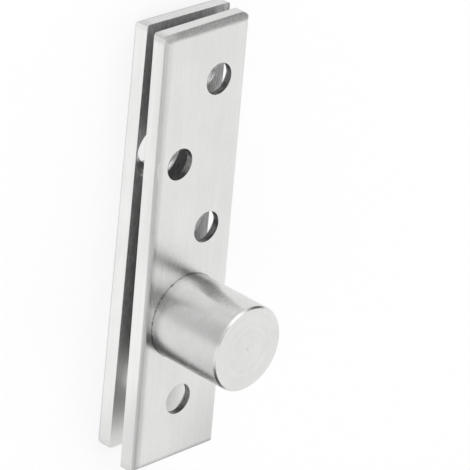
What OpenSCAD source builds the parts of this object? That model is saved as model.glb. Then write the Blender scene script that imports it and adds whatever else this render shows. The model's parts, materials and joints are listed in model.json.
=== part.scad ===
// Pivot hinge for a swing door, with a closed bearing barrel on the door plate.
// The barrel turns on a pin riveted into the frame plate, and a thrust bearing and
// two ball bearings inside it carry the door. Both plates are countersunk on the
// faces that look at each other, so their screws go in with the plates crosswise.
// +Z runs up the pivot axis, the plates lie along X, and the origin is where the
// pivot axis leaves the underside of the frame plate.

/* [Plates] */
// Width of both plates
plate_w = 30; // [29.5:0.5:40]
// Thickness of both plates
plate_t = 5; // [4:0.1:6]
// Gap between the plates
plate_gap = 4; // [3.8:0.1:5]
// Long arm of the door plate, from the pivot axis to its end
door_long = 84.5; // [80:0.5:110]
// Short arm of the door plate
door_short = 44; // [38:0.5:60]
// Long arm of the frame plate
frame_long = 84.5; // [80:0.5:110]
// Short arm of the frame plate
frame_short = 40; // [36:0.5:60]
// Turn of the door plate from the frame plate
door_turn = 1; // [-180:1:180]
// Radius of the corners, seen from above
corner_r = 0.8; // [0.5:0.1:2]
// Radius along the long edges of each plate's outer face
side_edge_r = 1; // [0.4:0.1:1.5]
// Radius across both ends of each plate's outer face
end_edge_r = 2.2; // [0.4:0.1:2.5]

/* [Screw holes] */
// Diameter of the screw holes
hole_d = 9; // [8:0.1:9.5]
// Diameter of the countersinks
sink_d = 16; // [12:0.1:16]
// Depth of the countersinks
sink_depth = 3.1; // [2:0.1:3.5]
// Distance from the pivot axis to the first hole of the long arm
first_hole_x = 25; // [23:0.1:26]
// Distance along the plate between the three staggered holes
hole_pitch = 21.6; // [18:0.1:23]
// Sideways offset of the first and third holes
outer_hole_y = 5.3; // [4:0.1:6.5]
// Sideways offset of the middle hole, on the other side
middle_hole_y = 6.7; // [4:0.1:7]
// Distance from the pivot axis to the short arm's hole, door plate
door_near_hole_x = 25.4; // [23:0.1:30]
// Distance from the pivot axis to the short arm's hole, frame plate
frame_near_hole_x = 23.2; // [22:0.1:28]

/* [Barrel] */
// Outside diameter of the barrel
barrel_d = 24.5; // [24:0.1:26]
// Height of the barrel above the door plate
barrel_h = 24; // [23:0.5:40]
// Bevel round the barrel's closed end
barrel_bevel = 0.5; // [0.3:0.1:1.5]
// Thickness of the flange that carries the door plate
flange_t = 1.5; // [1:0.1:2]

/* [Pivot pin] */
// Diameter of the collar that stands on the frame plate
collar_d = 17; // [15:0.1:18]
// Height of the collar
collar_h = 3; // [2.5:0.1:3.2]
// Diameter of the tail in the frame plate
tail_d = 11; // [9:0.1:12]
// Height of the rivet head sunk in the underside
rivet_h = 1.5; // [1:0.1:2]

/* [Ball bearings] */
// Bore of the ball bearings, and diameter of the pin's journal
bearing_bore = 8; // [7.5:0.1:8]
// Outside diameter of the ball bearings
bearing_od = 19; // [19:0.1:19.5]
// Width of each ball bearing
bearing_w = 6; // [6:0.1:6.5]
// Balls in each ball bearing
bearing_balls = 7; // [5:1:9]
// Distance between the two ball bearings
spacer_h = 3.5; // [2:0.1:4]

/* [Thrust bearing] */
// Bore of the thrust bearing, and diameter of its seat on the pin
thrust_bore = 10; // [9.5:0.1:10]
// Height of the whole thrust bearing
thrust_h = 5.5; // [5.3:0.1:5.6]
// Balls in the thrust bearing
thrust_balls = 12; // [8:1:13]

/* [Hidden] */
$fn = 96;

// Clearances and small edge breaks
ball_gap = 0.06;
pocket_gap = 0.1;
shield_gap = 0.25;
race_chamfer = 0.3;
lead_in = 0.4;
press_step = 0.1;
undercut_depth = 0.25;
undercut_h = 0.6;
cut = 1;

// Pin, washers and retaining ring
tail_r = tail_d / 2;
rivet_r = tail_r + rivet_h;
collar_r = collar_d / 2;
collar_chamfer = 0.3;
seat_r = thrust_bore / 2;
journal_r = bearing_bore / 2;
groove_depth = 0.2;
groove_w = 0.9;
pin_nose = 0.5;
shim_t = 0.5;
shim_r = journal_r + 2;
ring_t = 0.8;
ring_r = journal_r + 1.2;
ring_shift = 0.3;
ring_opening = 1.6;
lug_turn = 20;
lug_r = 1.35;
lug_hole_r = 0.6;

// Ball bearing section, about its own centre
bearing_r = bearing_od / 2;
ball_r = 1.75;
ball_circle_r = 6.75;
inner_land_r = 5.45;
outer_land_r = 8.05;
shield_r = 8.5;
shield_t = 0.3;
shield_inset = 0.2;
cage_in_r = 6.1;
cage_out_r = 7.4;
cage_foot = 1;
cage_back = 0.5;

// Thrust bearing section, about its own centre
thrust_ball_r = 1.25;
thrust_circle_r = 7;
thrust_gap_h = 1.8;
thrust_out_r = 9;
thrust_clear_r = seat_r + 0.2;
thrust_cage_h = 1.2;
thrust_cage_rim = 1.7;

// Door plate and barrel
barrel_r = barrel_d / 2;
press_r = barrel_r + press_step;
flange_r = barrel_r + 1.25;
load_ring_h = 1.5;
load_ring_r = 7.5;
spacer_wall = 1;
relief_r = 8.5;
relief_h = 1.2;
centre_mark_r = 0.25;
centre_mark_h = 0.15;

// Heights along the pivot axis
door_z = plate_t + plate_gap;
face_z = door_z + plate_t;
barrel_top = face_z + barrel_h;
thrust_z = plate_t + collar_h;
thrust_mid = thrust_z + thrust_h / 2;
load_ring_z = thrust_z + thrust_h;
lower_z = load_ring_z + load_ring_h;
upper_z = lower_z + bearing_w + spacer_h;
stack_top = upper_z + bearing_w;
ring_z = stack_top + shim_t;
pin_top = ring_z + ring_t + 1.2;

// Screw holes, as [x, y] from the pivot axis
long_arm_holes = [
  for (i = [0:2]) [first_hole_x + i * hole_pitch, i == 1 ? middle_hole_y : -outer_hole_y]
];
door_holes = concat(long_arm_holes, [[-door_near_hole_x, 0]]);
frame_holes = concat(long_arm_holes, [[-frame_near_hole_x, 0]]);

// Rectangle from the short arm's end to the long arm's end
module arm_rectangle(short_arm, long_arm, half_w, inset = 0) {
  translate([-short_arm + inset, -half_w])
    square([short_arm + long_arm - 2 * inset, 2 * half_w]);
}

// Outline of a plate from above, with round corners
module plate_outline(short_arm, long_arm) {
  arm_rectangle(short_arm, long_arm, plate_w / 2 - corner_r);
  arm_rectangle(short_arm, long_arm, plate_w / 2, corner_r);
  for (x = [corner_r - short_arm, long_arm - corner_r], s = [-1, 1])
    translate([x, s * (plate_w / 2 - corner_r)])
      circle(r = corner_r);
}

// Cross-section from low to high, with its two upper edges rounded
module rounded_section(low, high, edge_r) {
  translate([low, 0])
    square([high - low, plate_t - edge_r]);
  translate([low + edge_r, 0])
    square([high - low - 2 * edge_r, plate_t]);
  for (x = [low + edge_r, high - edge_r])
    translate([x, plate_t - edge_r])
      circle(r = edge_r);
}

// Flat bar cut to length, with the edges of its upper face rounded
module plate_blank(short_arm, long_arm) {
  intersection() {
    linear_extrude(plate_t)
      plate_outline(short_arm, long_arm);
    rotate([90, 0, 0])
      linear_extrude(plate_w + 2 * cut, center = true)
        rounded_section(-short_arm, long_arm, end_edge_r);
    translate([-short_arm - cut, 0, 0])
      rotate([90, 0, 90])
        linear_extrude(short_arm + long_arm + 2 * cut)
          rounded_section(-plate_w / 2, plate_w / 2, side_edge_r);
  }
}

// Cutter for one screw hole, countersunk on the lower face of a blank
module screw_hole() {
  slope = (sink_d - hole_d) / 2 / sink_depth;
  translate([0, 0, -cut])
    cylinder(d = hole_d, h = plate_t + 2 * cut);
  translate([0, 0, -cut])
    cylinder(r1 = sink_d / 2 + slope * cut, r2 = hole_d / 2, h = sink_depth + cut);
}

// Ring section with broken corners, for rotate_extrude
module ring_section(r_in, r_out, h, chamfer) {
  polygon([
    [r_in + chamfer, 0], [r_out - chamfer, 0], [r_out, chamfer], [r_out, h - chamfer],
    [r_out - chamfer, h], [r_in + chamfer, h], [r_in, h - chamfer], [r_in, chamfer]
  ]);
}

// Plain ring standing on z
module plain_ring(r_in, r_out, z, h, chamfer) {
  translate([0, 0, z])
    rotate_extrude()
      ring_section(r_in, r_out, h, chamfer);
}

// Inner ring of a ball bearing that stands on z
module inner_ring(z) {
  translate([0, 0, z])
    rotate_extrude()
      difference() {
        ring_section(journal_r, inner_land_r, bearing_w, race_chamfer);
        translate([ball_circle_r, bearing_w / 2])
          circle(r = ball_r + ball_gap);
      }
}

// Outer ring of a ball bearing, with a step at each face for its shield
module outer_ring(z) {
  step_h = shield_inset + shield_t;
  translate([0, 0, z])
    rotate_extrude()
      difference() {
        ring_section(outer_land_r, bearing_r, bearing_w, race_chamfer);
        translate([ball_circle_r, bearing_w / 2])
          circle(r = ball_r + ball_gap);
        translate([0, -cut])
          square([shield_r, step_h + cut]);
        translate([0, bearing_w - step_h])
          square([shield_r, step_h + cut]);
      }
}

// Pressed shield, seated in the step of an outer ring
module shield(z) {
  translate([0, 0, z])
    difference() {
      cylinder(r = shield_r, h = shield_t);
      translate([0, 0, -cut])
        cylinder(r = inner_land_r + shield_gap, h = shield_t + 2 * cut);
    }
}

// Balls spaced evenly on a circle
module ball_set(count, circle_r, r, z) {
  for (i = [0:count - 1])
    rotate(i * 360 / count)
      translate([circle_r, 0, z])
        sphere(r = r);
}

// Crown cage, whose pockets are open at the bottom so that it snaps over the balls
module crown_cage(z) {
  back_z = ball_r + pocket_gap + cage_back;
  difference() {
    translate([0, 0, z + bearing_w / 2 - cage_foot])
      rotate_extrude()
        translate([cage_in_r, 0])
          square([cage_out_r - cage_in_r, cage_foot + back_z]);
    ball_set(bearing_balls, ball_circle_r, ball_r + pocket_gap, z + bearing_w / 2);
  }
}

// Washer of the thrust bearing, with its race cut at race_z
module thrust_washer(r_in, r_out, z, race_z) {
  washer_t = (thrust_h - thrust_gap_h) / 2;
  rotate_extrude()
    difference() {
      translate([0, z])
        ring_section(r_in, r_out, washer_t, race_chamfer);
      translate([thrust_circle_r, race_z])
        circle(r = thrust_ball_r + ball_gap);
    }
}

module frame_plate() {
  color("gainsboro")
    difference() {
      translate([0, 0, plate_t])
        mirror([0, 0, 1])
          difference() {
            plate_blank(frame_short, frame_long);
            for (at = frame_holes)
              translate([at[0], at[1], 0])
                screw_hole();
          }
      translate([0, 0, -cut])
        cylinder(r = tail_r, h = plate_t + 2 * cut);
      translate([0, 0, -cut])
        cylinder(r1 = rivet_r + cut, r2 = tail_r, h = rivet_h + cut);
    }
}

module pivot_pin() {
  color("silver")
    rotate_extrude()
      polygon([
        [0, 0], [rivet_r, 0], [tail_r, rivet_h], [tail_r, plate_t],
        [collar_r, plate_t], [collar_r, thrust_z - collar_chamfer],
        [collar_r - collar_chamfer, thrust_z], [seat_r, thrust_z],
        [seat_r, lower_z], [journal_r, lower_z],
        [journal_r, ring_z], [journal_r - groove_depth, ring_z],
        [journal_r - groove_depth, ring_z + groove_w], [journal_r, ring_z + groove_w],
        [journal_r, pin_top - pin_nose], [journal_r - pin_nose, pin_top], [0, pin_top]
      ]);
}

module thrust_shaft_washer() {
  color("lightsteelblue")
    thrust_washer(seat_r, thrust_out_r, thrust_z, thrust_mid);
}

module lower_inner_ring() {
  color("lightsteelblue")
    inner_ring(lower_z);
}

module inner_spacer() {
  color("slategray")
    plain_ring(journal_r, inner_land_r, lower_z + bearing_w, spacer_h, 0.2);
}

module upper_inner_ring() {
  color("lightsteelblue")
    inner_ring(upper_z);
}

module shim_washer() {
  color("silver")
    plain_ring(journal_r, shim_r, stack_top, shim_t, 0.1);
}

// Spring ring in the pin's groove, thicker at its back, with two eyelets
module retaining_ring() {
  groove_r = journal_r - groove_depth;
  lug_circle_r = ring_r + 0.4;
  color("dimgray")
    translate([0, 0, ring_z])
      linear_extrude(ring_t)
        difference() {
          union() {
            translate([-ring_shift, 0])
              circle(r = ring_r);
            for (s = [-1, 1])
              rotate(s * lug_turn)
                translate([lug_circle_r, 0])
                  circle(r = lug_r);
          }
          circle(r = groove_r);
          translate([0, -ring_opening / 2])
            square([2 * ring_r, ring_opening]);
          for (s = [-1, 1])
            rotate(s * lug_turn)
              translate([lug_circle_r, 0])
                circle(r = lug_hole_r);
        }
}

module door_plate() {
  color("gainsboro")
    rotate(door_turn)
      translate([0, 0, door_z])
        difference() {
          plate_blank(door_short, door_long);
          for (at = door_holes)
            translate([at[0], at[1], 0])
              screw_hole();
          translate([0, 0, -cut])
            cylinder(r = press_r, h = plate_t + 2 * cut);
          translate([0, 0, -cut])
            cylinder(r = flange_r, h = flange_t + cut);
        }
}

// Turned cup, pressed up into the door plate until its flange seats, with an undercut
// that leaves a fine seam round the barrel at the plate's face
module barrel() {
  relief_top = pin_top + relief_h;
  undercut_r = barrel_r - undercut_depth;
  color("lightgray")
    rotate_extrude()
      polygon([
        [0, relief_top], [relief_r, relief_top], [relief_r, stack_top],
        [bearing_r, stack_top], [bearing_r, door_z + lead_in], [bearing_r + lead_in, door_z],
        [flange_r, door_z], [flange_r, door_z + flange_t], [press_r, door_z + flange_t],
        [press_r, face_z - undercut_h], [undercut_r, face_z - undercut_h],
        [undercut_r, face_z], [barrel_r, face_z],
        [barrel_r, barrel_top - barrel_bevel], [barrel_r - barrel_bevel, barrel_top],
        [centre_mark_r, barrel_top], [0, barrel_top - centre_mark_h]
      ]);
}

module thrust_housing_washer() {
  washer_t = (thrust_h - thrust_gap_h) / 2;
  color("lightsteelblue")
    thrust_washer(thrust_clear_r, bearing_r, load_ring_z - washer_t, thrust_mid);
}

module load_ring() {
  color("slategray")
    plain_ring(load_ring_r, bearing_r, load_ring_z, load_ring_h, 0.2);
}

module lower_outer_ring() {
  color("lightsteelblue")
    outer_ring(lower_z);
}

module lower_bearing_bottom_shield() {
  color("silver")
    shield(lower_z + shield_inset);
}

module lower_bearing_top_shield() {
  color("silver")
    shield(lower_z + bearing_w - shield_inset - shield_t);
}

module outer_spacer() {
  color("slategray")
    plain_ring(bearing_r - 2 * spacer_wall, bearing_r, lower_z + bearing_w, spacer_h, 0.2);
}

module upper_outer_ring() {
  color("lightsteelblue")
    outer_ring(upper_z);
}

module upper_bearing_bottom_shield() {
  color("silver")
    shield(upper_z + shield_inset);
}

module upper_bearing_top_shield() {
  color("silver")
    shield(upper_z + bearing_w - shield_inset - shield_t);
}

module thrust_cage() {
  color("goldenrod")
    difference() {
      translate([0, 0, thrust_mid - thrust_cage_h / 2])
        rotate_extrude()
          translate([thrust_circle_r - thrust_cage_rim, 0])
            square([2 * thrust_cage_rim, thrust_cage_h]);
      ball_set(thrust_balls, thrust_circle_r, thrust_ball_r + pocket_gap, thrust_mid);
    }
}

module thrust_bearing_balls() {
  color("white")
    ball_set(thrust_balls, thrust_circle_r, thrust_ball_r, thrust_mid);
}

module lower_cage() {
  color("goldenrod")
    crown_cage(lower_z);
}

module lower_bearing_balls() {
  color("white")
    ball_set(bearing_balls, ball_circle_r, ball_r, lower_z + bearing_w / 2);
}

module upper_cage() {
  color("goldenrod")
    crown_cage(upper_z);
}

module upper_bearing_balls() {
  color("white")
    ball_set(bearing_balls, ball_circle_r, ball_r, upper_z + bearing_w / 2);
}

frame_plate();
pivot_pin();
thrust_shaft_washer();
lower_inner_ring();
inner_spacer();
upper_inner_ring();
shim_washer();
retaining_ring();
door_plate();
barrel();
thrust_housing_washer();
load_ring();
lower_outer_ring();
lower_bearing_bottom_shield();
lower_bearing_top_shield();
outer_spacer();
upper_outer_ring();
upper_bearing_bottom_shield();
upper_bearing_top_shield();
thrust_cage();
thrust_bearing_balls();
lower_cage();
lower_bearing_balls();
upper_cage();
upper_bearing_balls();
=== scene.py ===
# %% [markdown]
# # Pivot hinge
# The hinge is two steel bars, one over the other. The upper bar carries a closed round
# barrel with the bearings inside, and it turns on a pin in the lower bar. The solids come
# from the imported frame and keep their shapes. This lesson gives them their finishes, and
# sets up the light and the camera.
#
# Blender keeps lengths in metres, so small ones are written as so many times MM. The pivot's
# axis is at x = 0 and y = 0, the long arm of the lower bar points along +X, and the hinge
# lies on the floor at z = 0.

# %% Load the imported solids
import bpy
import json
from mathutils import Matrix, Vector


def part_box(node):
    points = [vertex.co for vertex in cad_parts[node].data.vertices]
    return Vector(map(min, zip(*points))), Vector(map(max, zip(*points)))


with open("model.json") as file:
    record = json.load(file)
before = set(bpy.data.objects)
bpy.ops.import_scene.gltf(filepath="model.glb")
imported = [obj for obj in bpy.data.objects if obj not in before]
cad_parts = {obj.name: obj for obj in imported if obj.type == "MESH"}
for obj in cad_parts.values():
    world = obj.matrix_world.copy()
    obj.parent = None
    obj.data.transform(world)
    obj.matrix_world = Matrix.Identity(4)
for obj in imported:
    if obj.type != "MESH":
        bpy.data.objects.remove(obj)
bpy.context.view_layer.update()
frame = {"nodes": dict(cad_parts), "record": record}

MM = 0.001

# %% [markdown]
# ## Camera
# The hinge lies on its frame plate, and a camera looks down on it from the side of the
# barrel. It is more than a metre away with a long lens, which keeps the long edges nearly
# parallel. A camera is easiest to place by the point it looks at, two angles, a distance and
# a roll about its line of sight. The roll makes the long arm point up in the picture.

# %% Place the camera
import math

import bpy
from mathutils import Matrix, Vector

AIM = Vector((19.59 * MM, -16.36 * MM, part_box("door_plate")[1].z))
CAMERA_AZIMUTH = math.radians(57.29)
CAMERA_ELEVATION = math.radians(38.04)
CAMERA_ROLL = math.radians(117.48)
CAMERA_DISTANCE = 1.137
NEAREST, FARTHEST = 0.05, 20
LENS_MM = 324.2


def direction(azimuth, elevation):
    """Unit vector at an azimuth from +X and an elevation above the floor."""
    level = math.cos(elevation)
    return Vector((level * math.cos(azimuth), level * math.sin(azimuth), math.sin(elevation)))


towards_camera = direction(CAMERA_AZIMUTH, CAMERA_ELEVATION)
camera = bpy.data.objects.new("camera", bpy.data.cameras.new("camera"))
bpy.context.scene.collection.objects.link(camera)
camera.data.lens = LENS_MM
camera.data.clip_start = NEAREST
camera.data.clip_end = FARTHEST
level_view = towards_camera.to_track_quat("Z", "Y").to_matrix().to_4x4()
stand = Matrix.Translation(AIM + CAMERA_DISTANCE * towards_camera)
camera.matrix_world = stand @ level_view @ Matrix.Rotation(CAMERA_ROLL, 4, "Z")
bpy.context.scene.camera = camera
bpy.context.scene.view_settings.view_transform = "Standard"
print("camera at", [round(c, 3) for c in camera.matrix_world.translation])

# %% [markdown]
# ## Building materials in code
# A material is a tree of nodes. Made by hand it is a picture of boxes and wires, and made in
# code it gets long, so a few helpers keep it short. The first ones start a material, join two
# sockets, and add a node with its settings and sockets filled in.

# %% Materials and nodes
def new_material(name):
    """A new material, its node tree and its shader."""
    material = bpy.data.materials.new(name)
    material.use_nodes = True
    return material, material.node_tree, material.node_tree.nodes["Principled BSDF"]


def plug(tree, value, socket):
    """Join another node's output to a socket, or set the socket to a plain value."""
    if isinstance(value, bpy.types.NodeSocket):
        tree.links.new(value, socket)
    else:
        socket.default_value = value


def add(tree, kind, **settings):
    """A shader node with its properties and its sockets set."""
    node = tree.nodes.new(kind)
    for name, value in settings.items():
        if name in node.inputs:
            plug(tree, value, node.inputs[name])
        else:
            setattr(node, name, value)
    return node


print("helpers:", ", ".join(helper.__name__ for helper in (new_material, plug, add)))

# %% [markdown]
# ## Arithmetic in nodes
# The finishes below are worked out from where a point is on a part, so they need sums. A step
# goes smoothly from one value to another between two places, and most zones of a finish are
# one step or two steps multiplied. A share is a number from 0 to 1 that says how much of a
# zone's finish a point has.

# %% Arithmetic
def maths(tree, operation, *values):
    """The result of one Math node on numbers or other outputs."""
    node = add(tree, "ShaderNodeMath", operation=operation)
    for socket, value in zip(node.inputs, values):
        plug(tree, value, socket)
    return node.outputs[0]


def product(tree, first, *others):
    """All the values multiplied."""
    for other in others:
        first = maths(tree, "MULTIPLY", first, other)
    return first


def step(tree, value, start, end, low=0.0, high=1.0):
    """A smooth step from low to high while the value goes from start to end."""
    limits = {"From Min": start, "From Max": end, "To Min": low, "To Max": high}
    node = add(tree, "ShaderNodeMapRange", interpolation_type="SMOOTHSTEP", Value=value, **limits)
    return node.outputs["Result"]


def darker(tree, share, amount):
    """A factor that is 1 where the share is 0 and lower by the amount where it is 1."""
    return maths(tree, "MULTIPLY_ADD", share, -amount, 1.0)


def remainder(tree, share):
    """What a share leaves of 1."""
    return darker(tree, share, 1.0)


sums = (maths, product, step, darker, remainder)
print("arithmetic:", ", ".join(helper.__name__ for helper in sums))

# %% [markdown]
# ## Room
# Bare steel shows what stands around it more than its own colour, so the room is part of the
# finish. It is plain white to the camera and in the steel. What it sends to matt surfaces is
# set on its own, and it is the main light on the floor. A Light Path node tells these kinds
# of ray apart.

# %% White room
ROOM_LIGHT = 1.5
WHITE = (1, 1, 1, 1)


def seen_or_mirrored(tree, seen=1.0, mirrored=1.0):
    """Seen for camera rays, mirrored for glossy and transmission rays, 0 for all others."""
    path = add(tree, "ShaderNodeLightPath").outputs
    either = maths(tree, "MAXIMUM", path["Is Glossy Ray"], path["Is Transmission Ray"])
    in_steel = maths(tree, "MULTIPLY", either, mirrored)
    return maths(tree, "MULTIPLY_ADD", path["Is Camera Ray"], seen, in_steel)


def mix_to_output(tree, share, first, second, output):
    """Mix two shaders by the share and lead the result to an output node."""
    mixed = add(tree, "ShaderNodeMixShader")
    for socket, value in zip(mixed.inputs, (share, first.outputs[0], second.outputs[0])):
        plug(tree, value, socket)
    add(tree, output, Surface=mixed.outputs[0])


world = bpy.data.worlds.new("white room")
bpy.context.scene.world = world
world.use_nodes = True
room = world.node_tree
room.nodes.clear()
lighting = add(room, "ShaderNodeBackground", Color=WHITE, Strength=ROOM_LIGHT)
plain = add(room, "ShaderNodeBackground", Color=WHITE, Strength=1.0)
mix_to_output(room, seen_or_mirrored(room), lighting, plain, "ShaderNodeOutputWorld")
print("room lights matt surfaces at", ROOM_LIGHT)

# %% [markdown]
# ## What the steel sees of the floor
# The steel mirrors the floor close to the hinge, and a floor that is the same everywhere
# would make every edge the same tone. So the floor's mirror image has painted shade in four
# zones: off the near long side by the barrel, off the same side by the long arm, past the far
# end, and round the end of the short arm. The shade is painted only in what the steel
# mirrors, and the floor itself stays pale all over.

# %% Painted shade of the floor in the steel
# Painted shade: each zone's tone is how white the floor is there in the steel.
TONE_CLOSE_BY = 0.98
SHADE_BY_BARREL, SHADE_BY_LONG_ARM, SHADE_PAST_END = 0.84, 0.5, 0.25
SHORT_ARM_FLOOR_SHADE = 0.24
OFF_SIDE = (27 * MM, 36 * MM)
BARREL_TO_LONG_ARM = (0, 20 * MM)
PAST_END_ALONG, PAST_END_ACROSS = (94.5 * MM, 100 * MM), (0, -30 * MM)
SHORT_ARM_ALONG, SHORT_ARM_ACROSS = (-20 * MM, -50 * MM), (0, 15 * MM)


def floor_shade_in_steel(tree):
    """How white a point of the floor is in the steel, with its painted shade."""
    place = add(tree, "ShaderNodeTexCoord").outputs["Object"]
    axes = add(tree, "ShaderNodeSeparateXYZ", Vector=place).outputs
    past_end = step(tree, axes["X"], *PAST_END_ALONG)
    past_end = product(tree, past_end, step(tree, axes["Y"], *PAST_END_ACROSS))
    tone = maths(tree, "MULTIPLY_ADD", past_end, SHADE_PAST_END - TONE_CLOSE_BY, TONE_CLOSE_BY)
    changes = (SHADE_BY_BARREL - TONE_CLOSE_BY, SHADE_BY_LONG_ARM - TONE_CLOSE_BY)
    change = step(tree, axes["X"], *BARREL_TO_LONG_ARM, *changes)
    tone = maths(tree, "MULTIPLY_ADD", step(tree, axes["Y"], *OFF_SIDE), change, tone)
    short_arm_shade = step(tree, axes["X"], *SHORT_ARM_ALONG)
    short_arm_shade = product(tree, short_arm_shade, step(tree, axes["Y"], *SHORT_ARM_ACROSS))
    return product(tree, tone, darker(tree, short_arm_shade, SHORT_ARM_FLOOR_SHADE))


print("darkest zone of the floor in the steel:", SHADE_PAST_END)

# %% [markdown]
# ## Floor
# The floor is one sheet of matt pale paper. Most of what the camera sees of it is plain
# white, and the rest is real paper, which takes the light, so the hinge keeps a soft shadow.
# A sheet is a grid of one face, 1 m square, scaled and moved to its place as a mesh. The dark
# cards further on are made by the same function.

# %% Lay the floor
import bmesh

FLOOR_SIZE = 3.0
HALF_SIDE = 0.5
FLOOR_PAPER = (0.88, 0.88, 0.88, 1)
WHITE_SEEN, WHITE_MIRRORED = 0.8, 0.84


def stage_sheet(name, width, height, place, material):
    """A flat sheet of that width and height, set up at its place as part of the stage."""
    bm = bmesh.new()
    bmesh.ops.create_grid(bm, x_segments=1, y_segments=1, size=HALF_SIDE)
    bmesh.ops.scale(bm, vec=(width, height, 1), verts=bm.verts)
    bmesh.ops.transform(bm, matrix=place, verts=bm.verts)
    mesh = bpy.data.meshes.new(name)
    bm.to_mesh(mesh)
    bm.free()
    mesh.materials.append(material)
    sheet = bpy.data.objects.new(name, mesh)
    bpy.context.scene.collection.objects.link(sheet)
    return sheet


floor_paint, paint = new_material("pale floor")[:2]
paint.nodes.clear()
matt = add(paint, "ShaderNodeBsdfDiffuse", Color=FLOOR_PAPER)
to_camera = add(paint, "ShaderNodeLightPath").outputs["Is Camera Ray"]
brightness = maths(paint, "MAXIMUM", to_camera, floor_shade_in_steel(paint))
white = add(paint, "ShaderNodeEmission", Strength=brightness)
white_share = seen_or_mirrored(paint, WHITE_SEEN, WHITE_MIRRORED)
mix_to_output(paint, white_share, matt, white, "ShaderNodeOutputMaterial")
stage_sheet("floor", FLOOR_SIZE, FLOOR_SIZE, Matrix.Identity(4), floor_paint)
print("floor:", FLOOR_SIZE, "m square")

# %% [markdown]
# ## Dark cards
# In a room that is white all round, steel looks flat. Three dark cards stand round the hinge:
# one past the short arm, one past the barrel and one behind the camera. Each gives the round
# barrel one dark streak, and the rounded ends of the plates a darker band. The camera doesn't
# see them, so that a look from any side is free.

# %% Stand the cards
PAPER_ROUGH = 0.9


def facing_hinge(azimuth, elevation, distance):
    """Place and turn of something that stands off in that direction and looks at the hinge."""
    outward = direction(math.radians(azimuth), math.radians(elevation))
    turn = outward.to_track_quat("Z", "Y").to_matrix().to_4x4()
    return Matrix.Translation(distance * outward) @ turn


def dark_card(name, place, width, height, shade):
    """A matt card of that width, height and grey at a place, out of the camera's sight."""
    paper, tree, shader = new_material(name)
    plug(tree, (shade, shade, shade, 1), shader.inputs["Base Color"])
    plug(tree, PAPER_ROUGH, shader.inputs["Roughness"])
    card = stage_sheet(name, width, height, place, paper)
    card.visible_camera = False
    return card


past_short_arm = facing_hinge(azimuth=172, elevation=32, distance=0.9)
past_barrel = facing_hinge(azimuth=302, elevation=27, distance=0.9)
behind_camera = facing_hinge(azimuth=52, elevation=40, distance=1.3)
cards = (
    dark_card("card_left", past_short_arm, width=0.8, height=0.95, shade=0.04),
    dark_card("card_right", past_barrel, width=0.5, height=0.86, shade=0.07),
    dark_card("card_behind_camera", behind_camera, width=0.95, height=1.4, shade=0.18),
)
print("cards:", ", ".join(card.name for card in cards))

# %% [markdown]
# ## Strip lamp
# The bevel round the barrel's end is narrow, and it catches the light only where it mirrors
# a lamp. One long thin lamp, high on the camera's side, gives it a bright line and adds very
# little light to anything else.

# %% Hang the lamp
STRIP_LENGTH, STRIP_WIDTH, STRIP_WATTS = 2.2, 0.1, 1.5

strip = bpy.data.lights.new("key_lamp", "AREA")
strip.shape = "RECTANGLE"
strip.size = STRIP_LENGTH
strip.size_y = STRIP_WIDTH
strip.energy = STRIP_WATTS
lamp = bpy.data.objects.new("key_lamp", strip)
bpy.context.scene.collection.objects.link(lamp)
lamp.matrix_world = facing_hinge(azimuth=31, elevation=53, distance=1.2)
print("lamp at", [round(c, 2) for c in lamp.matrix_world.translation])

# %% [markdown]
# ## Marks in a metal
# A cutter, a belt or a roll leaves marks that are long one way and fine across. They are
# noise stretched in that way, so a mark is given as a cell: its length, width and height. The
# noise reads the part's own coordinates, so the marks turn with the part. A noise keeps
# mostly between 0.3 and 0.7, and is spread from there to the values that a finish needs. A
# Mix node has other sockets for numbers than for vectors, and the table says which.

# %% Marks
NOISE_LOW, NOISE_HIGH = 0.3, 0.7
MIX_SOCKETS = {"FLOAT": (2, 3, 0), "VECTOR": (4, 5, 1)}


def grain(tree, place, cell, turn=0.0, detail=4.0):
    """Noise in cells of that size in metres, turned about Z."""
    cells = add(tree, "ShaderNodeMapping", vector_type="TEXTURE", Vector=place, Scale=cell)
    plug(tree, (0, 0, turn), cells.inputs["Rotation"])
    noise = add(tree, "ShaderNodeTexNoise", Vector=cells.outputs[0], Scale=1.0, Detail=detail)
    return noise.outputs["Fac"]


def vary(tree, noise, low, high):
    """The noise, spread smoothly from low to high."""
    return step(tree, noise, NOISE_LOW, NOISE_HIGH, low, high)


def blend(tree, share, first, second, kind="FLOAT"):
    """First where share is 0, second where it is 1, for numbers or for vectors."""
    first_socket, second_socket, result = MIX_SOCKETS[kind]
    node = add(tree, "ShaderNodeMix", data_type=kind)
    for number, value in ((0, share), (first_socket, first), (second_socket, second)):
        plug(tree, value, node.inputs[number])
    return node.outputs[result]


print("noise is spread from", NOISE_LOW, "to", NOISE_HIGH)

# %% [markdown]
# ## How a bare metal is made
# All the metals here are the same kind of shader. Its base colour is a colour times a tone,
# which is how much light the metal sends back. Its marks are a bump of a hundredth of a
# millimetre at most. Marks that all run one way also spread what the metal mirrors across
# them, which the shader does by its Anisotropic value along a tangent. The tangent is given
# in the part's own coordinates and turned into the room's, so it turns with the part.

# %% Bare metal
STEEL = (1.0, 1.0, 0.99)
RELIEF_STRENGTH = 0.5


def bare_metal(name):
    """A new metal, as its material, its node tree, its shader and its own coordinates."""
    material, tree, shader = new_material(name)
    plug(tree, 1.0, shader.inputs["Metallic"])
    place = add(tree, "ShaderNodeTexCoord").outputs["Object"]
    return material, tree, shader, place


def tint(tree, shader, tone, colour=STEEL):
    """Give the shader a colour scaled by the tone."""
    scaled = add(tree, "ShaderNodeVectorMath", operation="SCALE", Scale=tone)
    plug(tree, colour, scaled.inputs[0])
    plug(tree, scaled.outputs[0], shader.inputs["Base Color"])


def relief(tree, shader, height, depth):
    """Let marks that deep, in metres, bend the light."""
    bump = add(tree, "ShaderNodeBump", Strength=RELIEF_STRENGTH, Distance=depth, Height=height)
    plug(tree, bump.outputs["Normal"], shader.inputs["Normal"])


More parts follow.
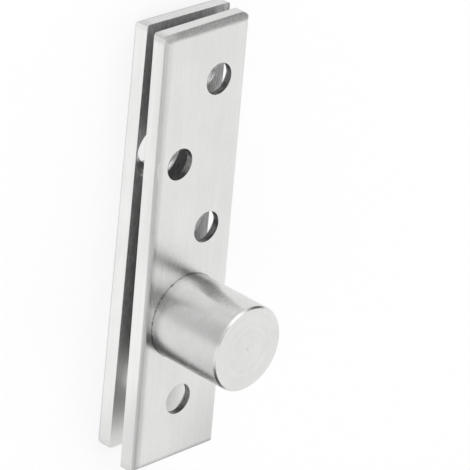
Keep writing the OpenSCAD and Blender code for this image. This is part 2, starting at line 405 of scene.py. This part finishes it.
def spread(tree, shader, tangent, pull):
    """Spread the mirror image by the pull, along a tangent in the part's own coordinates."""
    turned = add(tree, "ShaderNodeVectorTransform", convert_from="OBJECT", convert_to="WORLD")
    plug(tree, tangent, turned.inputs[0])
    plug(tree, turned.outputs[0], shader.inputs["Tangent"])
    plug(tree, pull, shader.inputs["Anisotropic"])


print("a bare metal is made by:", ", ".join(f.__name__ for f in (bare_metal, tint, relief, spread)))

# %% [markdown]
# ## Plates
# Each plate is cut from flat bar. Its outer face is brushed lengthwise on a belt, and its
# long sides keep the smooth drawn skin, painted lighter than the face. The far ends are filed
# round and carry painted shade, a strip of painted shade runs beside one long edge, and the
# outer face over the short arm has painted shade too. The faces in the gap keep the rolled
# skin of the bar with its scale, and their dark tone is painted shade between the plates.
# They are ground over the short arm, where painted light lifts them. The holes are drilled
# and countersunk, with painted shade on the drilled walls. One material does all this, and
# shares worked out from the plate's own coordinates say which part of the surface is which,
# so no face of the solid is touched.
#
# The door plate lies a degree off the frame plate, so a plate is measured along its own
# length first. Its inner and outer screw holes lie on one line along it.

# %% Sizes of a plate
INNER, OUTER = 0, 2


def measure_plate(plate):
    """The plate's turn about Z, its hole centres, and its box as it was before the turn."""
    side = plate.split("_")[0]
    screws = [m for m in frame["record"]["mounts"] if m["name"].startswith(side + "_screw")]
    centres = [Vector(screw["pos_m"]) for screw in screws]
    run = centres[OUTER] - centres[INNER]
    turn = math.atan2(run.y, run.x)
    unturn = Matrix.Rotation(-turn, 3, "Z")
    points = [unturn @ vertex.co for vertex in frame["nodes"][plate].data.vertices]
    low = Vector([min(values) for values in zip(*points)])
    high = Vector([max(values) for values in zip(*points)])
    return {"turn": turn, "holes": centres, "low": low, "high": high}


plates = {plate: measure_plate(plate) for plate in ("frame_plate", "door_plate")}
for plate, size in plates.items():
    sides = [round(side / MM, 1) for side in size["high"] - size["low"]]
    print(plate, "mm:", sides, "turned", round(math.degrees(size["turn"]), 1))

# %% [markdown]
# ## Places on a plate
# A zone beside an edge is easier to say from that edge than from the pivot: how deep a point
# is under the outer face, and how far it is past a side or an end. A point on the plate is
# never past them, so these distances are negative and rise to 0 at the edge. Zones that lie
# along or across the plate are said from the pivot's axis.

# %% Distances from the edges
def plate_places(tree, place, plate):
    """Along and across the plate, depth under its outer face, and distances past its edges."""
    low, high = plates[plate]["low"], plates[plate]["high"]
    own = add(tree, "ShaderNodeMapping", vector_type="TEXTURE", Vector=place)
    plug(tree, (0, 0, plates[plate]["turn"]), own.inputs["Rotation"])
    axes = add(tree, "ShaderNodeSeparateXYZ", Vector=own.outputs[0]).outputs
    outer = low.z if plate.startswith("frame") else high.z
    past_far = maths(tree, "SUBTRACT", axes["X"], high.x)
    past_short = maths(tree, "SUBTRACT", low.x, axes["X"])
    return {
        "along": axes["X"],
        "across": axes["Y"],
        "depth": maths(tree, "ABSOLUTE", maths(tree, "SUBTRACT", axes["Z"], outer)),
        "past_side": maths(tree, "SUBTRACT", maths(tree, "ABSOLUTE", axes["Y"]), high.y),
        "past_plus_y_side": maths(tree, "SUBTRACT", axes["Y"], high.y),
        "past_end": maths(tree, "MAXIMUM", past_far, past_short),
    }


ends = [round(plates["door_plate"][corner].x / MM, 1) for corner in ("low", "high")]
print("the door plate's ends along it, in mm:", ends)

# %% [markdown]
# ## Flat faces and holes
# The finish changes at once from the outer face or the gap face to a side. A point counts as
# on a face when it is within a few hundredths of a millimetre of it. A hole is told by the
# distance from its axis: the bore's radius for the drilled wall, and 8 mm for the cone of the
# countersink, which opens on the gap face.

# %% Shares of faces and holes
ON_FACE, PAST_WALL = 0.04 * MM, 0.05 * MM
SINK_REACH = 7.99 * MM
LEVEL = (1, 1, 0)
bores = [m["dims"]["r_mm"] * MM for m in frame["record"]["mounts"] if "_screw_" in m["name"]]
wall_reach = max(bores) + PAST_WALL


def hole_share(tree, place, centres, reach):
    """1 within reach of any of the hole axes."""
    level = add(tree, "ShaderNodeVectorMath", operation="MULTIPLY")
    plug(tree, place, level.inputs[0])
    plug(tree, LEVEL, level.inputs[1])
    share = 0.0
    for centre in centres:
        away = add(tree, "ShaderNodeVectorMath", operation="DISTANCE")
        plug(tree, level.outputs[0], away.inputs[0])
        plug(tree, (centre.x, centre.y, 0), away.inputs[1])
        inside = maths(tree, "LESS_THAN", away.outputs["Value"], reach)
        share = maths(tree, "MAXIMUM", share, inside)
    return share


def face_shares(tree, place, at, plate):
    """The shares of the gap face, the long sides, and the walls and cones of the holes."""
    thick = plates[plate]["high"].z - plates[plate]["low"].z
    holes = plates[plate]["holes"]
    below = maths(tree, "GREATER_THAN", at["depth"], ON_FACE)
    return {
        "gap": maths(tree, "GREATER_THAN", at["depth"], thick - ON_FACE),
        "sides": maths(tree, "GREATER_THAN", at["past_side"], -ON_FACE),
        "walls": product(tree, hole_share(tree, place, holes, wall_reach), below),
        "cones": product(tree, hole_share(tree, place, holes, SINK_REACH), below),
    }


print("holes:", len(bores), "with walls within", round(wall_reach / MM, 2), "mm of their axes")

# %% [markdown]
# ## Edges, worn zones and painted shade
#
# The long edges are broken with a file and the ends are filed round, so they are rougher than
# the face. The very end has painted shade, less at the corner on the +Y side. A strip of
# painted shade runs beside that edge and fades towards the far end. The grinding of the gap
# faces starts beside the pin and goes on to the end of the short arm, and painted light lifts
# them there. Painted shade lies on the outer face there too.

# %% Shares of edges and zones
BROKEN_EDGE = (-1.2 * MM, -0.8 * MM)
# Painted shade on the very end of each plate, less at the +Y corner.
FILED_END, END_SHADE_RANGE = (-2.6 * MM, -1.3 * MM), (-1.8 * MM, -0.4 * MM)
END_SHADE_CORNER = (-0.5 * MM, -6 * MM)
# Painted shade: a strip beside the +Y long edge, fading towards the far end.
EDGE_SHADE_STRIP, EDGE_SHADE_ALONG = (-3 * MM, -1.2 * MM), (90 * MM, -30 * MM)
EDGE_SHADE_AT_FAR_END, EDGE_SHADE_OFF_BROKEN_EDGE = 0.4, 0.5
# The ground zone's gloss is the grinding, and its lighter tone is painted light.
GROUND_AND_LIT_ALONG = (-4 * MM, -22 * MM)
# Painted shade on the outer face, darker towards the short arm's end and its -Y side.
FACE_SHADE_ALONG, FACE_SHADE_ACROSS = (-16 * MM, -44 * MM), (10 * MM, -14 * MM)


def zone_shares(tree, at, sides):
    """The shares of the rough edges, the ground and lit zone, and three zones of painted shade."""
    off_end = maths(tree, "LESS_THAN", at["past_end"], -ON_FACE)
    broken = product(tree, step(tree, at["past_side"], *BROKEN_EDGE), remainder(tree, sides))
    filed = product(tree, step(tree, at["past_end"], *FILED_END), off_end)
    end_shade = product(tree, step(tree, at["past_end"], *END_SHADE_RANGE), off_end)
    edge_shade = step(tree, at["past_plus_y_side"], *EDGE_SHADE_STRIP)
    edge_shade = maths(tree, "MULTIPLY_ADD", broken, -EDGE_SHADE_OFF_BROKEN_EDGE, edge_shade)
    edge_shade_along = step(tree, at["along"], *EDGE_SHADE_ALONG, EDGE_SHADE_AT_FAR_END, 1.0)
    face_shade = step(tree, at["along"], *FACE_SHADE_ALONG)
    return {
        "rough_edges": maths(tree, "MAXIMUM", filed, broken),
        "end_shade": product(tree, end_shade, step(tree, at["past_plus_y_side"], *END_SHADE_CORNER)),
        "edge_shade": product(tree, edge_shade, edge_shade_along),
        "ground": step(tree, at["along"], *GROUND_AND_LIT_ALONG),
        "face_shade": product(tree, face_shade, step(tree, at["across"], *FACE_SHADE_ACROSS)),
    }


def plate_shares(tree, place, plate):
    """All the shares of the plate's surface, by name."""
    at = plate_places(tree, place, plate)
    shares = face_shares(tree, place, at, plate)
    shares.update(zone_shares(tree, at, shares["sides"]))
    return shares


print("ground from x =", round(GROUND_AND_LIT_ALONG[0] / MM), "mm to the end of the short arm")

# %% [markdown]
# ## Tone of a plate
# The tone is high on the drawn sides, which is painted light, lower where the rolled skin is
# left, which is painted shade between the plates, and low in the drilled walls, which mirror
# mostly each other and carry painted shade. It goes up and down with the marks: hardly on
# the brushed face, and strongly in the rolled skin and in the holes. Each pair here is the
# factor in the low and in the high places of a mark.

# %% Tone
# Painted light: the sides are lighter than the brushed face, and their drawn skin is smoother.
BRUSHED_TONE, SIDE_LIT_TONE = 0.76, 0.93
# Painted shade darkens the rolled gap face, and painted light lifts its ground part.
ROLLED_AND_SHADE_TONE, GROUND_AND_LIT_TONE = 0.36, 0.89
# Painted shade: the drilled walls of the holes are dark.
WALL_SHADE_TONE, CONE_TONE = 0.28, 0.75
# Painted shade: how much darker the edge strip, the very end and the short arm's face are.
EDGE_PAINTED_SHADE, END_PAINTED_SHADE, FACE_PAINTED_SHADE = 0.28, 0.36, 0.16
FINE_CHANGE, BROAD_CHANGE, HANDLED_CHANGE = (0.985, 1.012), (0.985, 1.01), (0.97, 1.012)
END_SHADE_CHANGE, ROLLED_CHANGE, GROUND_CHANGE = (0.5, 1.5), (0.78, 1.2), (0.975, 1.01)
DRILLED_CHANGE, RINGS_CHANGE = (0.5, 1.6), (0.75, 1.2)


def outer_tone(tree, marks, share):
    """How bright the outer face and the sides are."""
    # Painted shade on the very end and in the strip beside the long edge.
    end_shade = product(tree, share["end_shade"], vary(tree, marks["skin"], *END_SHADE_CHANGE))
    face = product(tree, darker(tree, share["edge_shade"], EDGE_PAINTED_SHADE), BRUSHED_TONE)
    face = product(tree, face, darker(tree, end_shade, END_PAINTED_SHADE))
    return product(
        tree,
        blend(tree, share["sides"], face, SIDE_LIT_TONE),
        vary(tree, marks["fine"], *FINE_CHANGE),
        vary(tree, marks["broad"], *BROAD_CHANGE),
        vary(tree, marks["handled"], *HANDLED_CHANGE),
        darker(tree, share["face_shade"], FACE_PAINTED_SHADE),
    )


def plate_tone(tree, marks, share):
    """How bright the steel is on each part of a plate."""
    rolled = product(tree, vary(tree, marks["skin"], *ROLLED_CHANGE), ROLLED_AND_SHADE_TONE)
    ground = product(tree, vary(tree, marks["skin"], *GROUND_CHANGE), GROUND_AND_LIT_TONE)
    wall_shade = product(tree, vary(tree, marks["chatter"], *DRILLED_CHANGE), WALL_SHADE_TONE)
    holes = blend(tree, share["walls"], CONE_TONE, wall_shade)
    holes = product(tree, holes, vary(tree, marks["rings"], *RINGS_CHANGE))
    gap = blend(tree, share["ground"], rolled, ground)
    faces = blend(tree, share["gap"], outer_tone(tree, marks, share), gap)
    return blend(tree, share["cones"], faces, holes)


print("brushed at", BRUSHED_TONE, "and rolled at", ROLLED_AND_SHADE_TONE)

# %% [markdown]
# ## Gloss of a plate
# Roughness blurs what the steel mirrors. The drawn sides are the smoothest, the filed edges
# and the rolled skin are the roughest, and the ground part of the gap face lies between. A
# pair is the roughness in the low and in the high places of a mark.

# %% Gloss
BRUSHED_ROUGH, SIDE_ROUGH, FILED_ROUGH = (0.23, 0.28), 0.2, 0.5
ROLLED_ROUGH, GROUND_ROUGH, HOLE_ROUGH = (0.5, 0.44), (0.32, 0.3), (0.36, 0.24)


def plate_gloss(tree, marks, share):
    """How rough the steel is on each part of a plate."""
    outer = vary(tree, marks["fine"], *BRUSHED_ROUGH)
    outer = blend(tree, share["sides"], outer, SIDE_ROUGH)
    outer = blend(tree, share["rough_edges"], outer, FILED_ROUGH)
    rolled = vary(tree, marks["skin"], *ROLLED_ROUGH)
    gap = blend(tree, share["ground"], rolled, vary(tree, marks["skin"], *GROUND_ROUGH))
    faces = blend(tree, share["gap"], outer, gap)
    return blend(tree, share["cones"], faces, vary(tree, marks["rings"], *HOLE_ROUGH))


print("sides at", SIDE_ROUGH, "and filed edges at", FILED_ROUGH)

# %% [markdown]
# ## Steel of a plate
# Belt marks are a centimetre long and a fifth of a millimetre wide, the rolled skin has
# shorter ones, and drilled holes get rings and a few broad dents where the drill chattered.
# Brushing lengthwise spreads the light across the plate. The rolled skin has a thin layer of
# scale on it, so it is less of a bare metal than the rest, and grinding flattens its marks.

# %% Steel of a plate
BRUSHED_PULL = 0.5
SCALE_COVER = 0.6
GROUND_FLATTER = 0.8
MARK_DEPTH = 0.01 * MM


def plate_marks(tree, place, turn):
    """The marks of each tool, by name."""
    return {
        "fine": grain(tree, place, (10 * MM, 0.22 * MM, 0.22 * MM), turn),
        "broad": grain(tree, place, (50 * MM, 1.6 * MM, 1.6 * MM), turn, detail=2.0),
        "handled": grain(tree, place, (14 * MM, 11 * MM, 14 * MM), turn, detail=3.0),
        "skin": grain(tree, place, (2 * MM, 0.4 * MM, 0.4 * MM), turn),
        "rings": grain(tree, place, (3 * MM, 3 * MM, 0.3 * MM)),
        "chatter": grain(tree, place, (3 * MM, 3 * MM, 20 * MM), detail=2.0),
    }


def plate_steel(plate):
    """A plate's finish, with painted light and shade: brushed face, drawn sides, gap face, holes.
    """
    material, tree, shader, place = bare_metal(plate.replace("_", " ") + " steel")
    turn = plates[plate]["turn"]
    share = plate_shares(tree, place, plate)
    marks = plate_marks(tree, place, turn)
    tint(tree, shader, plate_tone(tree, marks, share))
    plug(tree, plate_gloss(tree, marks, share), shader.inputs["Roughness"])
    brushed = remainder(tree, maths(tree, "MAXIMUM", share["gap"], share["cones"]))
    across = (-math.sin(turn), math.cos(turn), 0)
    spread(tree, shader, across, product(tree, brushed, BRUSHED_PULL))
    scale = product(tree, share["gap"], remainder(tree, share["ground"]))
    plug(tree, darker(tree, scale, SCALE_COVER), shader.inputs["Metallic"])
    skin = product(tree, marks["skin"], darker(tree, share["ground"], GROUND_FLATTER))
    outer = blend(tree, share["cones"], marks["fine"], marks["rings"])
    relief(tree, shader, blend(tree, share["gap"], outer, skin), MARK_DEPTH)
    return material


print("marks are", MARK_DEPTH / MM, "mm deep")

# %% [markdown]
# ## Barrel
# The barrel is turned from bar and polished, so its fine marks run round it, and on its
# closed end they are rings. Its zones are told by height: the end itself, the bevel just
# under it, the foot, which has painted shade and is a little darker, and the seam to the
# plate, which holds a few specks of dirt. The tool left a tiny mark in the middle of the end.

# %% Places on the barrel
BEVEL_HEIGHT, FOOT_SHADE_HEIGHT = 0.49 * MM, 4 * MM
SEAM_HEIGHT, DIRT_HEIGHTS = 0.02 * MM, (0.6 * MM, 0.1 * MM)
SPECK, SPECK_EDGE = (0.7 * MM, 0.7 * MM, 0.4 * MM), (0.5, 0.6)
plate_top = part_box("door_plate")[1].z
barrel_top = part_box("barrel")[1].z


def seam_dirt(tree, place, above_plate):
    """The share of the dark seam and of the specks just above it."""
    specks = step(tree, grain(tree, place, SPECK, detail=2.0), *SPECK_EDGE)
    low_down = step(tree, above_plate, *DIRT_HEIGHTS)
    seam = maths(tree, "LESS_THAN", above_plate, SEAM_HEIGHT)
    return maths(tree, "MAXIMUM", seam, product(tree, low_down, specks))


def barrel_places(tree, place):
    """The way out, the radius, and shares of the end, bevel, painted shade at the foot, and dirt.
    """
    axes = add(tree, "ShaderNodeSeparateXYZ", Vector=place).outputs
    outward = add(tree, "ShaderNodeCombineXYZ", X=axes["X"], Y=axes["Y"]).outputs[0]
    length = add(tree, "ShaderNodeVectorMath", operation="LENGTH")
    plug(tree, outward, length.inputs[0])
    above_plate = maths(tree, "SUBTRACT", axes["Z"], plate_top)
    below_top = maths(tree, "SUBTRACT", barrel_top, axes["Z"])
    end = maths(tree, "LESS_THAN", below_top, ON_FACE)
    return {
        "x": axes["X"],
        "outward": outward,
        "radius": length.outputs["Value"],
        "end": end,
        "bevel": maths(tree, "SUBTRACT", maths(tree, "LESS_THAN", below_top, BEVEL_HEIGHT), end),
        "foot_shade": step(tree, above_plate, FOOT_SHADE_HEIGHT, 0.0),
        "dirt": seam_dirt(tree, place, above_plate),
    }


print("the barrel stands out of the plate by", round((barrel_top - plate_top) / MM, 1), "mm")

# %% [markdown]
# ## Tone and gloss of the barrel
# The barrel is a little brighter on its wall than on its end, and its tone goes up and down
# by a few hundredths with the marks and with a light cloud of handling. The bevel is the
# roughest zone, because it was cut and not polished.

# %% Tone and gloss
CLOUD = (7 * MM, 7 * MM, 7 * MM)
BARREL_TONE, END_TONE = 0.8, 0.745
WALL_CHANGE, RING_CHANGE, CLOUD_CHANGE = (0.955, 1.035), (0.968, 1.023), (0.965, 1.02)
# Painted shade at the barrel's foot, next to the plate.
FOOT_PAINTED_SHADE, DIRT_DARKER = 0.15, 0.6
BARREL_ROUGH, END_ROUGH, BEVEL_ROUGH, ROUGH_CHANGE = 0.29, 0.24, 0.31, (-0.02, 0.03)
CENTRE_MARK, CENTRE_ROUGH = 0.3 * MM, 0.6


def barrel_tone(tree, place, at, wall_marks, rings):
    """How bright the barrel is."""
    wall_change = vary(tree, wall_marks, *WALL_CHANGE)
    ring_change = vary(tree, rings, *RING_CHANGE)
    cloud = grain(tree, place, CLOUD, detail=3.0)
    return product(
        tree,
        blend(tree, at["end"], BARREL_TONE, END_TONE),
        blend(tree, at["end"], wall_change, ring_change),
        vary(tree, cloud, *CLOUD_CHANGE),
        darker(tree, at["foot_shade"], FOOT_PAINTED_SHADE),
        darker(tree, at["dirt"], DIRT_DARKER),
    )


def barrel_gloss(tree, at, marks):
    """How rough the barrel is."""
    gloss = blend(tree, at["end"], BARREL_ROUGH, END_ROUGH)
    gloss = maths(tree, "ADD", gloss, vary(tree, marks, *ROUGH_CHANGE))
    gloss = blend(tree, at["bevel"], gloss, BEVEL_ROUGH)
    centre = maths(tree, "LESS_THAN", at["radius"], CENTRE_MARK)
    return maths(tree, "MAXIMUM", gloss, product(tree, centre, CENTRE_ROUGH))


print("barrel tone", BARREL_TONE, "and end tone", END_TONE)

# %% [markdown]
# ## Steel of the barrel
# The marks on the wall are grain in flat cells, and the rings on the end are grain along the
# radius. A perfect ring looks drawn, so the rings drift a little from one side to the other.
# Round marks spread the light along the barrel, and rings spread it outwards, which is what
# the tangent says here.

# %% Barrel finish
WALL_MARK, END_RING = (4 * MM, 4 * MM, 0.3 * MM), (0.35 * MM, 0.35 * MM, 0.35 * MM)
RING_DRIFT = 0.03
WALL_PULL, END_PULL = 0.75, 0.25


def barrel_steel():
    """The finish of the barrel: turned wall, faced end with rings, painted shade at the foot."""
    material, tree, shader, place = bare_metal("turned barrel steel")
    at = barrel_places(tree, place)
    drift = product(tree, at["x"], RING_DRIFT)
    rings_at = add(tree, "ShaderNodeCombineXYZ", X=at["radius"], Y=drift)
    wall_marks = grain(tree, place, WALL_MARK)
    rings = grain(tree, rings_at.outputs[0], END_RING, detail=3.0)
    marks = blend(tree, at["end"], wall_marks, rings)
    tint(tree, shader, barrel_tone(tree, place, at, wall_marks, rings))
    plug(tree, barrel_gloss(tree, at, marks), shader.inputs["Roughness"])
    tangent = blend(tree, at["end"], (0, 0, 1), at["outward"], kind="VECTOR")
    off_wall = maths(tree, "MAXIMUM", at["end"], at["bevel"])
    spread(tree, shader, tangent, blend(tree, off_wall, WALL_PULL, END_PULL))
    relief(tree, shader, marks, MARK_DEPTH)
    return material


finishes = {"barrel_steel": barrel_steel()}
print("made:", finishes["barrel_steel"].name)

# %% [markdown]
# ## Parts inside
# The bearing rings are ground, the balls are polished, the shields are pressed from bright
# sheet, the cages are machined brass, and the retaining ring is dark spring steel. They show
# only when the barrel is opened, and each still has its own grain and gloss. They are all the
# same kind of metal with other numbers, so one function makes them from a row of numbers: the
# colour, the mark and its depth, the roughness, and how much the tone changes.

# %% Finishes of the parts inside
ROUND_MARK, EVEN_MARK = (3 * MM, 3 * MM, 0.2 * MM), (0.4 * MM, 0.4 * MM, 0.4 * MM)
POLISH_MARK, HANDLED_MARK = (1 * MM, 1 * MM, 1 * MM), (4 * MM, 4 * MM, 4 * MM)
CUT_DEPTH, GROUND_DEPTH, POLISHED_DEPTH = 0.01 * MM, 0.005 * MM, 0.001 * MM
ROUGHER_IN_MARKS = 0.06
INSIDE_HANDLED_CHANGE = (0.96, 1.03)
INSIDE_METALS = {
    "pin_steel": ((0.66, 0.66, 0.65), ROUND_MARK, CUT_DEPTH, 0.22, 0.05),
    "bearing_steel": ((0.7, 0.7, 0.7), ROUND_MARK, GROUND_DEPTH, 0.13, 0.04),
    "spacer_steel": ((0.6, 0.6, 0.59), ROUND_MARK, CUT_DEPTH, 0.28, 0.06),
    "shim_steel": ((0.62, 0.62, 0.61), EVEN_MARK, CUT_DEPTH, 0.26, 0.05),
    "spring_steel": ((0.2, 0.2, 0.21), EVEN_MARK, CUT_DEPTH, 0.36, 0.1),
    "shield_steel": ((0.66, 0.66, 0.66), EVEN_MARK, CUT_DEPTH, 0.24, 0.05),
    "cage_brass": ((0.78, 0.6, 0.28), EVEN_MARK, CUT_DEPTH, 0.26, 0.05),
    "ball_steel": ((0.8, 0.8, 0.8), POLISH_MARK, POLISHED_DEPTH, 0.04, 0.02),
}


def inside_metal(name, colour, mark, depth, rough, change):
    """A metal with fine marks of that size and depth in metres."""
    material, tree, shader, place = bare_metal(name)
    marks = grain(tree, place, mark)
    handled = vary(tree, grain(tree, place, HANDLED_MARK, detail=2.0), *INSIDE_HANDLED_CHANGE)
    tone = product(tree, vary(tree, marks, 1 - change, 1 + change), handled)
    tint(tree, shader, tone, colour)
    plug(tree, vary(tree, marks, rough, rough + ROUGHER_IN_MARKS), shader.inputs["Roughness"])
    relief(tree, shader, marks, depth)
    return material


for slot, row in INSIDE_METALS.items():
    finishes[slot] = inside_metal(slot.replace("_", " "), *row)
print("finishes inside and on the barrel:", len(finishes))

# %% [markdown]
# ## Finishes on the solids
# Every solid came with one slot that names its metal. The shape of every one is right as it
# is, so each keeps its mesh and only gets the finish of that name. The two plates get one
# finish each, because their edges and holes lie in different places.

# %% Give every solid its finish
for name, node in frame["nodes"].items():
    slot = node.data.materials[0].name.split(".")[0]
    node.data.materials[0] = plate_steel(name) if name in plates else finishes[slot]
print("finished solids:", len(frame["nodes"]))

# %% [markdown]
# ## End
# A finish changes only how a surface looks, so the solids keep their meshes.

# %% The end
import json
